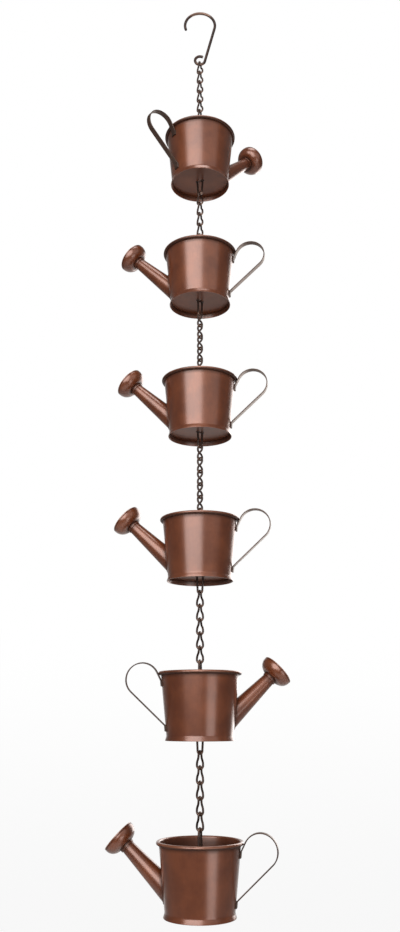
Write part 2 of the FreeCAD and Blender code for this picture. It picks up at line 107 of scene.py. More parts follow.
# Wires
BAIL_WIRE = 2 * MM
BAIL_BEND = 2.3 * MM
BAIL_SPLAY = math.radians(3)
BAIL_PEAK = CAN_HEIGHT + 10 * MM
EYE_DROP = 11 * MM
FLOOR_TOP = BEND_TOP + SHEET
LINK_WIRE = 2 * MM
LINK_WIDTH = 8 * MM
LINK_LENGTH = 17 * MM
LINK_PITCH = LINK_LENGTH - 2 * LINK_WIRE - 0.3 * MM
HOOK_WIRE = 3 * MM
HOOK_RADIUS = 17 * MM
HOOK_SWEEP = math.radians(212)
HOOK_DROP = 48 * MM
HOOK_EYE_RADIUS = 5.5 * MM
HOOK_EYE_SWEEP = math.radians(290)

# Turns about the upright in degrees, and links in a run
CAN_TURN = {1: 37, 2: 170, 3: 170, 4: 170, 5: 10, 6: 170}
RUN_TURN = {1: 25, 2: 20, 3: 90, 4: 90, 5: 25, 6: 20}
RUN_LINKS = {1: 7, 2: 5, 3: 5, 4: 5, 5: 5, 6: 5}

# Solder
SPOUT_BEAD = 0.75 * MM
SPOUT_BEAD_OUT = 0.1 * MM
TAB_BEAD = 0.35 * MM
MOUND = [(0, 0), (2.0 * MM, 0), (1.75 * MM, 0.35 * MM), (1.3 * MM, 0.8 * MM), (0, 1.3 * MM)]

# Copper in screen values: dark cloud, light cloud and drawn line, then rubbed places and the dark brown
# painted in as shade
COPPER = ((115, 56, 27), (138, 72, 38), (97, 45, 20))
STRAP_COPPER = ((76, 56, 48), (98, 76, 66), (66, 47, 40))
RUBBED_COPPER = (178, 118, 90)
PAINTED_SHADE_COPPER = (44, 21, 15)

# Edges that turn more than this are drawn sharp
SHARP = math.radians(38)


class Value:
    """A socket of a node tree that takes part in plain arithmetic."""

    def __init__(self, tree, socket):
        self.tree = tree
        self.socket = socket

    def math(self, operation, *others):
        entries = dict(enumerate((self,) + others))
        return self.tree.node("ShaderNodeMath", {"operation": operation}, entries)[0]

    def swapped(self, operation, other):
        return self.tree.node("ShaderNodeMath", {"operation": operation}, {0: other, 1: self})[0]

    def __add__(self, other):
        return self.math("ADD", other)

    def __radd__(self, other):
        return self.math("ADD", other)

    def __sub__(self, other):
        return self.math("SUBTRACT", other)

    def __rsub__(self, other):
        return self.swapped("SUBTRACT", other)

    def __mul__(self, other):
        return self.math("MULTIPLY", other)

    def __truediv__(self, other):
        return self.math("DIVIDE", other)

    def __gt__(self, other):
        return self.math("GREATER_THAN", other)

    def ramp(self, low, high):
        """Rises smoothly from 0 at low to 1 at high."""
        settings = {"interpolation_type": "SMOOTHSTEP"}
        entries = {"Value": self, "From Min": low, "From Max": high}
        return self.tree.node("ShaderNodeMapRange", settings, entries)["Result"]


class Outputs:
    """The output sockets of one node."""

    def __init__(self, tree, made):
        self.tree = tree
        self.made = made

    def __getitem__(self, key):
        return Value(self.tree, self.made.outputs[key])


class Tree:
    """Builds a node tree from calls that name each node's type, settings and sockets."""

    def __init__(self, node_tree):
        self.node_tree = node_tree

    def node(self, kind, settings=None, sockets=None):
        made = self.node_tree.nodes.new(kind)
        for name, setting in (settings or {}).items():
            setattr(made, name, setting)
        for key, entry in (sockets or {}).items():
            if isinstance(entry, Value):
                self.node_tree.links.new(entry.socket, made.inputs[key])
            else:
                made.inputs[key].default_value = entry
        return Outputs(self, made)

    def mix(self, share, first, second):
        """A colour between two colours."""
        settings = {"data_type": "RGBA"}
        return self.node("ShaderNodeMix", settings, {0: share, 6: first, 7: second})[2]


def tone(red, green, blue):
    """A colour written as 0 to 255 screen values."""
    def linear(level):
        level /= 255
        return level / 12.92 if level <= 0.04045 else ((level + 0.055) / 1.055) ** 2.4
    return (linear(red), linear(green), linear(blue), 1)


def new_material(name):
    material = bpy.data.materials.new(name)
    material.use_nodes = True
    material.node_tree.nodes.clear()
    return material, Tree(material.node_tree)


def noise(tree, place, scale, detail, roughness):
    entries = {"Vector": place, "Scale": scale, "Detail": detail, "Roughness": roughness}
    return tree.node("ShaderNodeTexNoise", {}, entries)["Fac"]


def attribute(tree, name):
    return tree.node("ShaderNodeAttribute", {"attribute_name": name})["Fac"]


def close_surface(tree, sockets):
    shader = tree.node("ShaderNodeBsdfPrincipled", {}, sockets)["BSDF"]
    tree.node("ShaderNodeOutputMaterial", {}, {"Surface": shader})


def copper_sheet(name, shades, shade_and_dullness, gloss, drawn_along):
    """Lacquered copper-brown sheet: cloudy tone, faint lines along the way it was drawn, rubbed edges, and
    painted
    shade: a dark brown laid into corners, hollows and insides, which are also made rougher and less
    glossy. An even amount of that painted shade and dullness can cover the whole piece. A drawn piece
    carries its own grain; a flat plate takes its place in space."""
    material, tree = new_material(name)
    if drawn_along:
        place = tree.node("ShaderNodeAttribute", {"attribute_name": "grain"})["Vector"]
    else:
        place = tree.node("ShaderNodeTexCoord")["Object"]
    stretched = tree.node("ShaderNodeMapping", {}, {"Vector": place, "Scale": (1, 1, 0.05)})["Vector"]
    cloud = noise(tree, place, scale=45, detail=3, roughness=0.55)
    drawn = noise(tree, stretched, scale=900, detail=3, roughness=0.6)
    wear = attribute(tree, "wear")
    # The attribute and the even amount mark painted shade: there the colour turns dark brown, and the
    # surface rougher and less glossy
    painted_shade = (attribute(tree, "painted_shade") + shade_and_dullness).math("MINIMUM", 1)
    dark, light, line = shades
    body = tree.mix(cloud.ramp(0.3, 0.7), tone(*dark), tone(*light))
    lined = tree.mix(drawn.ramp(0.35, 0.75) * 0.15, body, tone(*line))
    rubbed = tree.mix((wear * (0.45 + cloud)).ramp(0.25, 0.9) * 0.75, lined, tone(*RUBBED_COPPER))
    # Painted shade: the colour darkens towards the shade brown
    shaded_colour = tree.mix(painted_shade * 0.85, rubbed, tone(*PAINTED_SHADE_COPPER))
    roughness = 0.26 + cloud * 0.08 + drawn * 0.06 + painted_shade * 0.3 - wear * 0.04
    bump = tree.node("ShaderNodeBump", {}, {"Strength": 0.03, "Distance": 0.0001, "Height": drawn})
    close_surface(tree, {
        "Base Color": shaded_colour,
        "Metallic": 0.35,
        "Specular IOR Level": 0.6,
        "Specular Tint": tone(255, 236, 220),
        "Roughness": roughness,
        "Coat Weight": gloss - painted_shade * (0.85 * gloss),
        "Coat Roughness": 0.25,
        "Coat IOR": 1.7,
        "Normal": bump["Normal"],
    })
    return material


def bronze_wire():
    """Dark bronze wire, brighter where one bend rubs on the next."""
    material, tree = new_material("bronze_wire")
    place = tree.node("ShaderNodeTexCoord")["Object"]
    cloud = noise(tree, place, scale=160, detail=3, roughness=0.6)
    speck = noise(tree, place, scale=2200, detail=3, roughness=0.55)
    wear = attribute(tree, "wear")
    body = tree.mix(cloud.ramp(0.3, 0.7), tone(60, 44, 38), tone(84, 63, 54))
    rubbed = tree.mix((wear * (0.4 + cloud)).ramp(0.2, 0.9) * 0.7, body, tone(138, 106, 90))
    roughness = 0.4 + cloud * 0.14 - wear * 0.1
    bump = tree.node("ShaderNodeBump", {}, {"Strength": 0.2, "Distance": 0.0001, "Height": speck})
    close_surface(tree, {
        "Base Color": rubbed,
        "Metallic": 0.7,
        "Roughness": roughness,
        "Coat Weight": 0.25,
        "Coat Roughness": 0.3,
        "Normal": bump["Normal"],
    })
    return material


def new_tree(name, inputs):
    """A geometry node tree with named inputs, and a table of its inputs as values."""
    group = bpy.data.node_groups.new(name, "GeometryNodeTree")
    face = group.interface
    face.new_socket("Geometry", in_out="INPUT", socket_type="NodeSocketGeometry")
    for label, kind in inputs.items():
        face.new_socket(label, in_out="INPUT", socket_type="NodeSocket" + kind)
    face.new_socket("Geometry", in_out="OUTPUT", socket_type="NodeSocketGeometry")
    tree = Tree(group)
    return tree, tree.node("NodeGroupInput")


def end_tree(tree, geometry, material):
    """Every tree ends as one plain mesh with its material set."""
    whole = tree.node("GeometryNodeRealizeInstances", {}, {"Geometry": geometry})["Geometry"]
    coated = tree.node("GeometryNodeSetMaterial", {}, {"Geometry": whole, "Material": material})
    tree.node("NodeGroupOutput", {}, {"Geometry": coated["Geometry"]})
    return tree.node_tree


def spin_tree():
    """Spins a closed section, drawn as a loop of vertices with X outwards and Z up, about the Z axis."""
    tree, given = new_tree("spin_section", {"Steps": "Int", "Material": "Material"})
    section = given["Geometry"]
    steps = given["Steps"]
    count = tree.node("GeometryNodeAttributeDomainSize", {}, {"Geometry": section})["Point Count"]
    sizes = {"Size X": 1.0, "Size Y": 1.0, "Vertices X": steps + 1, "Vertices Y": count + 1}
    grid = tree.node("GeometryNodeMeshGrid", {}, sizes)["Mesh"]
    spot = tree.node("ShaderNodeSeparateXYZ", {}, {0: tree.node("GeometryNodeInputPosition")[0]})
    turn = (spot[0] + 0.5) * math.tau
    corner = ((spot[1] + 0.5) * count).math("ROUND").math("FLOORED_MODULO", count)
    source = tree.node("GeometryNodeInputPosition")[0]
    settings = {"data_type": "FLOAT_VECTOR"}
    sampled = tree.node(
        "GeometryNodeSampleIndex", settings, {"Geometry": section, "Value": source, "Index": corner}
    )["Value"]
    drawn = tree.node("ShaderNodeSeparateXYZ", {}, {0: sampled})
    placed = {0: drawn[0] * turn.math("COSINE"), 1: drawn[0] * turn.math("SINE"), 2: drawn[2]}
    there = tree.node("ShaderNodeCombineXYZ", {}, placed)[0]
    spun = tree.node("GeometryNodeSetPosition", {}, {"Geometry": grid, "Position": there})["Geometry"]
    joined = tree.node("GeometryNodeMergeByDistance", {}, {"Geometry": spun, "Distance": 1e-7})
    return end_tree(tree, joined["Geometry"], given["Material"])


def wire_tree():
    """Sweeps a round wire along a path of vertices, as thick as the path's own thickness says."""
    inputs = {"Radius": "Float", "Sides": "Int", "Material": "Material"}
    tree, given = new_tree("wire_along_path", inputs)
    path = tree.node("GeometryNodeMeshToCurve", {}, {"Mesh": given["Geometry"]})["Curve"]
    ring = tree.node(
        "GeometryNodeCurvePrimitiveCircle", {}, {"Resolution": given["Sides"], "Radius": given["Radius"]}
    )["Curve"]
    settings = {"data_type": "FLOAT"}
    share = tree.node("GeometryNodeInputNamedAttribute", settings, {"Name": "thickness"})["Attribute"]
    entries = {"Curve": path, "Profile Curve": ring, "Scale": share, "Fill Caps": True}
    wire = tree.node("GeometryNodeCurveToMesh", {}, entries)["Mesh"]
    return end_tree(tree, wire, given["Material"])


def link_tree():
    """A run of twisted links: one closed path of two half-round ends, a quarter turn apart, and two sides
    that each bow over in a flat S, swept as wire and repeated down the run."""
    inputs = {"Wire": "Float", "Width": "Float", "Length": "Float", "Pitch": "Float"}
    inputs.update({"Links": "Int", "Top": "Float", "Turn": "Float", "Material": "Material"})
    tree, given = new_tree("twisted_links", inputs)
    quarter = 26
    sides = 14
    bend = (given["Width"] - given["Wire"]) / 2
    half_side = (given["Length"] - given["Width"]) / 2
    shift = bend * math.sqrt(0.5)
    bow = (half_side * half_side + shift * shift) / (shift * 2)
    loop = tree.node("GeometryNodeCurvePrimitiveCircle", {}, {"Resolution": 4 * quarter})["Curve"]
    step = tree.node("GeometryNodeInputIndex")[0] / quarter
    number = step.math("FLOOR")
    along = step - number
    is_side = number.math("FLOORED_MODULO", 2)
    end = 1 - (number > 1.5) * 2
    side_sign = (number > 1.5) * 2 - 1
    swing = along * math.pi
    reach = swing.math("COSINE") * bend * math.sqrt(0.5)
    end_x = reach * end
    end_y = reach
    end_z = (half_side + swing.math("SINE") * bend) * end
    side_z = half_side * (1 - along * 2) * end
    sag = half_side - side_z.math("ABSOLUTE")
    chord = (bow * bow - sag * sag).math("SQRT")
    side_y = (shift - bow + chord) * side_z.math("SIGN") * side_sign
    placed = {
        0: end_x * (1 - is_side) + shift * side_sign * is_side,
        1: end_y * (1 - is_side) + side_y * is_side,
        2: end_z * (1 - is_side) + side_z * is_side,
    }
    there = tree.node("ShaderNodeCombineXYZ", {}, placed)[0]
    path = tree.node("GeometryNodeSetPosition", {}, {"Geometry": loop, "Position": there})["Geometry"]
    ring = tree.node(
        "GeometryNodeCurvePrimitiveCircle", {}, {"Resolution": sides, "Radius": given["Wire"] / 2}
    )["Curve"]
    wire = tree.node("GeometryNodeCurveToMesh", {}, {"Curve": path, "Profile Curve": ring})["Mesh"]
    spot = tree.node("ShaderNodeSeparateXYZ", {}, {0: tree.node("GeometryNodeInputPosition")[0]})
    rub = (spot[2].math("ABSOLUTE") / half_side).ramp(1.0, 1.5)
    marked = tree.node(
        "GeometryNodeStoreNamedAttribute",
        {"data_type": "FLOAT", "domain": "POINT"},
        {"Geometry": wire, "Name": "wear", "Value": rub},
    )["Geometry"]
    drop = tree.node("ShaderNodeCombineXYZ", {}, {2: given["Pitch"] * -1})[0]
    first = tree.node(
        "ShaderNodeCombineXYZ", {}, {2: given["Top"] - (given["Length"] - given["Wire"]) / 2}
    )[0]
    row = tree.node(
        "GeometryNodeMeshLine", {}, {"Count": given["Links"], "Start Location": first, "Offset": drop}
    )["Mesh"]
    lean = tree.node("ShaderNodeCombineXYZ", {}, {2: given["Turn"]})[0]
    turned = tree.node("FunctionNodeEulerToRotation", {}, {"Euler": lean})["Rotation"]
    links = tree.node(
        "GeometryNodeInstanceOnPoints", {}, {"Points": row, "Instance": marked, "Rotation": turned}
    )["Instances"]
    return end_tree(tree, links, given["Material"])


def grow(obj, group, inputs):
    """Runs a tree on an object and keeps the result as the object's plain mesh."""
    modifier = obj.modifiers.new("grow", "NODES")
    modifier.node_group = group
    names = {item.name: item.identifier for item in group.interface.items_tree if item.in_out == "INPUT"}
    for label, entry in inputs.items():
        modifier[names[label]] = entry
    bpy.context.view_layer.update()
    graph = bpy.context.evaluated_depsgraph_get()
    mesh = bpy.data.meshes.new_from_object(obj.evaluated_get(graph))
    obj.modifiers.remove(modifier)
    obj.data = mesh
    mesh.name = obj.name
    return obj


def new_object(name, points=(), edges=(), faces=()):
    mesh = bpy.data.meshes.new(name)
    mesh.from_pydata([tuple(point) for point in points], list(edges), list(faces))
    obj = bpy.data.objects.new(name, mesh)
    bpy.context.scene.collection.objects.link(obj)
    return obj


def tidy_mesh(obj):
    """Faces outwards, smooth but for real edges."""
    shape = bmesh.new()
    shape.from_mesh(obj.data)
    bmesh.ops.recalc_face_normals(shape, faces=shape.faces)
    shape.to_mesh(obj.data)
    shape.free()
    obj.data.shade_smooth()
    obj.data.set_sharp_from_angle(angle=SHARP)
    return obj


def spun(name, section, steps, material):
    count = len(section)
    points = [(x, 0, z) for x, z in section]
    edges = [(index, (index + 1) % count) for index in range(count)]
    obj = new_object(name, points, edges)
    grow(obj, SPIN, {"Steps": steps, "Material": material})
    return tidy_mesh(obj)


def swept(name, path, radius, sides, material, closed=False, thickness=None):
    count = len(path)
    edges = [(index, (index + 1) % count) for index in range(count if closed else count - 1)]
    obj = new_object(name, path, edges)
    share = obj.data.attributes.new("thickness", "FLOAT", "POINT")
    share.data.foreach_set("value", thickness or [1.0] * count)
    grow(obj, WIRE, {"Radius": radius, "Sides": sides, "Material": material})
    return tidy_mesh(obj)


def joined(target, *others):
    """Adds the meshes of other objects to one object and removes them."""
    shape = bmesh.new()
    for obj in (target,) + others:
        shape.from_mesh(obj.data)
    shape.to_mesh(target.data)
    shape.free()
    for obj in others:
        bpy.data.objects.remove(obj)
    target.data.set_sharp_from_angle(angle=SHARP)
    return target


def painted(obj, name, rule):
    """Gives each vertex a number from its place, for the material to read."""
    data = obj.data
    layer = data.attributes.get(name) or data.attributes.new(name, "FLOAT", "POINT")
    layer.data.foreach_set("value", [rule(vertex.co) for vertex in data.vertices])
    return obj


def grained(obj, number, rule):
    """Gives each vertex its place along and across its own sheet, set apart from the other cans."""
    data = obj.data
    layer = data.attributes.new("grain", "FLOAT_VECTOR", "POINT")
    apart = Vector((0.3 * number, 0, 0))
    flat = [level for vertex in data.vertices for level in rule(vertex.co) + apart]
    layer.data.foreach_set("vector", flat)
    return obj


def rise(number, low, high):
    """0 below low, 1 above high, smooth between."""
    share = min(1, max(0, (number - low) / (high - low)))
    return share * share * (3 - 2 * share)


def set_down(obj, place, body, slot, *nodes):
    obj.data.transform(place)
    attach(obj, body)
    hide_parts(*nodes)
    return obj


def wall_radius(height):
    return WAIST_RADIUS + WALL_SLOPE * (height - WAIST_HEIGHT)


def round_corner(before, corner, after, radius, steps):
    """Points of the arc that rounds a corner of a section."""
    before, corner, after = Vector(before), Vector(corner), Vector(after)
    incoming = (before - corner).normalized()
    outgoing = (after - corner).normalized()
    half = incoming.angle(outgoing) / 2
    start = corner + incoming * radius / math.tan(half)
    finish = corner + outgoing * radius / math.tan(half)
    centre = corner + (incoming + outgoing).normalized() * radius / math.sin(half)
    points = []
    for index in range(steps + 1):
        spoke = (start - centre).lerp(finish - centre, index / steps)
        points.append(tuple(centre + spoke.normalized() * radius))
    return points


def arc_points(centre, radius, start, end, steps):
    angles = [start + (end - start) * index / steps for index in range(steps + 1)]
    return [(centre[0] + radius * math.cos(a), centre[1] + radius * math.sin(a)) for a in angles]


def line_points(start, end, steps):
    """Points between two ends, both left out."""
    shares = [index / steps for index in range(1, steps)]
    return [tuple(a + (b - a) * share for a, b in zip(start, end)) for share in shares]


def tub(number, copper):
    """Flared foot, bent waist, tapered wall and a rolled bead."""
    edge = SHEET * 0.3
    bead = (RIM_RADIUS - BEAD_RADIUS, BEAD_LEVEL)
    under = (WALL_TOP, UNDER_BEAD)
    foot = (FOOT_RADIUS, 0)
    foot_inner = (FOOT_RADIUS - SHEET, 0)
    waist = (WAIST_RADIUS, WAIST_HEIGHT)
    waist_inner = (WAIST_RADIUS - SHEET, WAIST_HEIGHT)
    rim_inner = (WALL_TOP_INNER, BEAD_LEVEL)
    start = math.atan2(UNDER_BEAD - BEAD_LEVEL, WALL_TOP - bead[0])
    section = round_corner(foot_inner, foot, waist, edge, 3)
    section += round_corner(foot, waist, under, WAIST_BEND, 8)
    section += line_points(section[-1], under, 14)
    section += arc_points(bead, BEAD_RADIUS, start, math.pi, 28)
    inner_bend = round_corner(rim_inner, waist_inner, foot_inner, WAIST_BEND, 8)
    section += line_points(rim_inner, inner_bend[0], 14)
    section += inner_bend
    section += round_corner(waist, foot_inner, foot, edge, 3)
    obj = spun(f"tub_{number}", section, steps=144, material=copper)

    def wear(spot):
        radius = math.hypot(spot.x, spot.y)
        outer = rise(radius, RIM_RADIUS - 1.4 * MM, RIM_RADIUS)
        brim = rise(spot.z, CAN_HEIGHT - 0.9 * MM, CAN_HEIGHT)
        hem = 1 - rise(spot.z, 0, 1.0 * MM)
        return max(0.6 * outer, brim, 0.35 * hem)

    # Painted shade: dark inside the tub, and a band of it under the rolled bead
    def painted_shade(spot):
        radius = math.hypot(spot.x, spot.y)
        inside = radius < wall_radius(spot.z) - 0.4 * SHEET and spot.z < BEAD_LEVEL
        if inside:
            return 0.75
        below_bead = rise(spot.z, BEAD_LEVEL - 3.4 * MM, BEAD_LEVEL - 0.9 * MM)
        return below_bead * (1 - rise(spot.z, BEAD_LEVEL - 0.6 * MM, BEAD_LEVEL + 0.4 * MM))

    painted(obj, "wear", wear)
    painted(obj, "painted_shade", painted_shade)
    return grained(obj, number, lambda spot: spot)


def spout_place():
    root = Vector((wall_radius(SPOUT_HEIGHT), 0, SPOUT_HEIGHT))
    return Matrix.Translation(root) @ Matrix.Rotation(math.pi / 2 - SPOUT_ANGLE, 4, "Y")


def wall_hit(point, direction):
    """How far along a line it comes out through the tub's tapered wall."""
    radius = wall_radius(point.z)
    lean = WALL_SLOPE * direction.z
    a = direction.x ** 2 + direction.y ** 2 - lean ** 2
    b = point.x * direction.x + point.y * direction.y - radius * lean
    c = point.x ** 2 + point.y ** 2 - radius ** 2
    return (-b + math.sqrt(b * b - a * c)) / a


def cone_ring(place, radius_at_root, steps):
    """Where the straight lines of a spout's surface start, on the wall, and end, at the tip."""
    starts, ends = [], []
    for index in range(steps):
        turn = math.tau * index / steps
        around = Vector((math.cos(turn), math.sin(turn), 0))
        tip_radius = radius_at_root - SPOUT_TAPER * SPOUT_LENGTH
        tip = place @ (around * tip_radius + Vector((0, 0, SPOUT_LENGTH)))
        root = place @ (around * radius_at_root)
        heading = (tip - root).normalized()
        starts.append(root + heading * wall_hit(root, heading))
        ends.append(tip)
    return starts, ends


def ring_faces(count, first, second):
    pairs = [(index, (index + 1) % count) for index in range(count)]
    return [(first + a, first + b, second + b, second + a) for a, b in pairs]


def spout(number, copper):
    """A tapered tube that meets the wall all round, with a smooth run of solder at its root."""
    steps = 72
    spans = 10
    crowding = 1.4
    place = spout_place()
    outer_root, outer_tip = cone_ring(place, SPOUT_ROOT, steps)
    inner_root, inner_tip = cone_ring(place, SPOUT_ROOT - SHEET, steps)
    rings = []
    for index in range(spans + 1):
        share = (index / spans) ** crowding
        rings.append([a.lerp(b, share) for a, b in zip(outer_root, outer_tip)])
    rings += [inner_tip, inner_root]
    points = [point for ring in rings for point in ring]
    faces = []
    for index in range(len(rings)):
        faces += ring_faces(steps, index * steps, (index + 1) % len(rings) * steps)
    tube = new_object(f"spout_{number}", points, (), faces)
    tube.data.materials.append(copper)
    tidy_mesh(tube)
    bead_path = []
    for a, b in zip(outer_root, outer_tip):
        bead_path.append(a + (b - a).normalized() * SPOUT_BEAD_OUT)
    solder = swept("solder", bead_path, SPOUT_BEAD, sides=12, material=copper, closed=True)
    joined(tube, solder)
    axis_start = place @ Vector((0, 0, 0))

    # Painted shade: darker at the spout's root against the wall and at its neck inside the rose's sleeve
    def painted_shade(spot):
        gap = math.hypot(spot.x, spot.y) - wall_radius(spot.z)
        root = 1 - rise(gap, 0, 2.6 * MM)
        neck = rise((spot - axis_start).length, SPOUT_LENGTH - 6 * MM, SPOUT_LENGTH - 2 * MM)
        return max(0.8 * root, 0.9 * neck)

    painted(tube, "painted_shade", painted_shade)
    back = place.inverted()
    return grained(tube, number, lambda spot: back @ spot)


def rose(number, copper):
    """A domed back with a sleeve, a fine groove and a straight lip."""
    end = DOME_END + ROSE_LIP
    face_radius = ROSE_RADIUS - SHEET
    groove = 0.21 * MM
    dome = (SLEEVE_OUTER, DOME_END)
    section = [(SLEEVE_OUTER, 0.15 * MM), (SLEEVE_OUTER, ROSE_SLEEVE - 0.5 * MM)]
    section += arc_points(dome, DOME_RADIUS, -math.pi / 2, 0, 30)
    section += [
        (ROSE_RADIUS - groove, DOME_END + 0.15 * MM),
        (ROSE_RADIUS - groove, DOME_END + 0.4 * MM),
        (ROSE_RADIUS, DOME_END + 0.6 * MM),
        (ROSE_RADIUS, end - 0.25 * MM),
        (ROSE_RADIUS - 0.2 * MM, end),
        (face_radius + 0.1 * MM, end),
        (face_radius, end - 0.1 * MM),
    ]
    section += list(reversed(arc_points(dome, DOME_RADIUS - SHEET, -math.pi / 2, 0, 30)))
    section += [
        (SLEEVE_INNER, ROSE_SLEEVE + SHEET),
        (SLEEVE_INNER, 0.15 * MM),
        (SLEEVE_INNER + 0.15 * MM, 0),
        (SLEEVE_OUTER - 0.15 * MM, 0),
    ]
    obj = spun(f"rose_{number}", section, steps=96, material=copper)

    def wear(spot):
        return rise(spot.z, end - 0.9 * MM, end - 0.2 * MM)

    # Painted shade: darker in the corner where the sleeve meets the dome, and along the groove
    def painted_shade(spot):
        radius = math.hypot(spot.x, spot.y)
        corner = 1 - rise(math.hypot(radius - SLEEVE_OUTER, spot.z - ROSE_SLEEVE), 0.4 * MM, 3.6 * MM)
        line = 1 - rise(abs(spot.z - DOME_END - 0.3 * MM), 0.15 * MM, 0.45 * MM)
        return max(0.9 * corner, 0.8 * line)

    painted(obj, "wear", wear)
    painted(obj, "painted_shade", painted_shade)

    def along(spot):
        radius = math.hypot(spot.x, spot.y)
        return Vector((spot.x, spot.y, 0)) * ROSE_RADIUS / radius + Vector((0, 0, radius + spot.z))

    grained(obj, number, along)
    obj.data.transform(spout_place() @ Matrix.Translation((0, 0, SPOUT_LENGTH - ROSE_SLEEVE)))
    return obj


def strap_path():
    """The middle line of the strap, seen from the side: up the wall, out along a straight leg, round the
    bend, back along the other leg and down the wall. Also the heights between which each end lies on the
    wall."""
    centre = Vector((BEND_REACH, BEND_LEVEL))
    inner = BEND_RADIUS - STRAP / 2
    lift = (SOLDER_GAP + STRAP / 2) / math.cos(WALL_LEAN)
    angles, ends, tabs = [], [], []
    for height, side in ((HANDLE_TOP, 1), (HANDLE_FOOT, -1)):
        root = Vector((wall_radius(height) - HANDLE_ROOT_DEPTH, height))
        gap = centre - root
        angle = math.atan2(gap.y, gap.x) + side * (math.asin(inner / gap.length) + math.pi / 2)
        spoke = Vector((math.cos(angle), math.sin(angle)))
        start = root + spoke * STRAP / 2
        leg = centre + spoke * BEND_RADIUS - start
        corner = start + leg * (wall_radius(start.y) + lift - start.x) / (leg.x - WALL_SLOPE * leg.y)
        low = corner.y - TAB_LENGTH
        tip = Vector((wall_radius(low) + lift, low))
        turn = [Vector(point) for point in round_corner(tip, corner, start + leg, TAB_BEND, 6)]
        ends.append([tip.lerp(turn[0], index / 5) for index in range(5)] + turn)
        angles.append(angle)
        tabs.append((low, corner.y))
    finish = angles[1]
    if finish > angles[0]:
        finish -= math.tau
    bend = [Vector(point) for point in arc_points(centre, BEND_RADIUS, angles[0], finish, 56)]
    upper = [ends[0][-1].lerp(bend[0], index / 6) for index in range(1, 6)]
    lower = [bend[-1].lerp(ends[1][-1], index / 10) for index in range(1, 10)]
    return ends[0] + upper + bend + lower + ends[1][::-1], tabs


def tab_solder(low, high, copper):
    """A thin run of solder round the three free sides of a strap's end."""
    side = STRAP_WIDTH / 2 + 0.1 * MM
    steps = 8
    heights = [high + (low - high) * index / steps for index in range(steps + 1)]
    outline = [(side, height) for height in heights]
    outline += [(side - 2 * side * index / steps, low) for index in range(1, steps)]
    outline += [(-side, height) for height in reversed(heights)]
    path = []
    for across, height in outline:
        radius = wall_radius(height) + 0.15 * MM
        path.append(Vector((-math.sqrt(radius ** 2 - across ** 2), across, height)))
    return swept("solder", path, TAB_BEAD, sides=10, material=copper)


def handle(number, copper):
    """A flat strap with eased edges, bent on the flat, its ends soldered down on the wall."""
    path, tabs = strap_path()
    ease = 0.28 * MM
    half_thick = STRAP / 2
    half_wide = STRAP_WIDTH / 2
    corner = [(half_wide, half_thick - ease), (half_wide - ease, half_thick)]
    outline = corner + [(-across, through) for across, through in reversed(corner)]
    outline += [(-across, -through) for across, through in outline]
    count = len(outline)
    points, faces = [], []
    for index, spot in enumerate(path):
        before = path[max(0, index - 1)]
        after = path[min(len(path) - 1, index + 1)]
        heading = (after - before).normalized()
        normal = Vector((-heading.y, heading.x))
        for across, through in outline:
            flat = spot + normal * through
            points.append((-flat.x, across, flat.y))
        if index:
            faces += ring_faces(count, (index - 1) * count, index * count)
    last = (len(path) - 1) * count
    faces.append(tuple(range(count)))
    faces.append(tuple(last + index for index in range(count)))
    obj = new_object(f"handle_{number}", points, (), faces)
    obj.data.materials.append(copper)
    tidy_mesh(obj)
    joined(obj, *[tab_solder(low, high, copper) for low, high in tabs])

    def wear(spot):
        return 0.2 * rise(abs(spot.y), half_wide - 0.5 * MM, half_wide)

    # Painted shade: darker where the strap comes near the wall
    def painted_shade(spot):
        return 0.35 * (1 - rise(math.hypot(spot.x, spot.y) - wall_radius(spot.z), 0.6 * MM, 4 * MM))

    def along(spot):
        out = Vector((-spot.x - BEND_REACH, spot.z - BEND_LEVEL))
        return Vector((spot.y, out.length, math.atan2(out.y, out.x) * BEND_RADIUS))

    painted(obj, "wear", wear)
    painted(obj, "painted_shade", painted_shade)
    return grained(obj, number, along)


def staple(name, drop, wire):
    """A U of wire with its peak at the origin and its legs splayed a little, and solder at each foot."""
    bend = arc_points((0, -BAIL_BEND), BAIL_BEND, BAIL_SPLAY, math.pi - BAIL_SPLAY, 24)
    foot = (bend[0][0] + (drop + bend[0][1]) * math.tan(BAIL_SPLAY), -drop)
    leg = [foot] + line_points(foot, bend[0], 10)
    flat = leg + bend + [(-x, z) for x, z in reversed(leg)]
    obj = swept(name, [Vector((x, 0, z)) for x, z in flat], BAIL_WIRE / 2, sides=16, material=wire)
    drops = []
    for side in (-1, 1):
        mound = solder_drop("mound", MOUND, wire)
        mound.data.transform(Matrix.Translation((side * foot[0], 0, -drop)))
        drops.append(mound)
    joined(obj, *drops)

    def wear(spot):
        return rise(spot.z, -1.6 * BAIL_WIRE, -0.6 * BAIL_WIRE)

    return painted(obj, "wear", wear)


def solder_drop(name, outline, material):
    """A low round mound, from the outline of its half section."""
    steps = 20
    points = [(0, 0, outline[0][1])]
    faces = []
    for radius, level in outline[1:-1]:
        for index in range(steps):
            turn = math.tau * index / steps
            points.append((radius * math.cos(turn), radius * math.sin(turn), level))
    points.append((0, 0, outline[-1][1]))
    rings = len(outline) - 2
    for ring in range(rings - 1):
        faces += ring_faces(steps, 1 + ring * steps, 1 + (ring + 1) * steps)
    last = len(points) - 1
    top = 1 + (rings - 1) * steps
    for index in range(steps):
        after = (index + 1) % steps
        faces.append((0, 1 + after, 1 + index))
        faces.append((top + index, top + after, last))
    obj = new_object(name, points, (), faces)
    obj.data.materials.append(material)
    return tidy_mesh(obj)


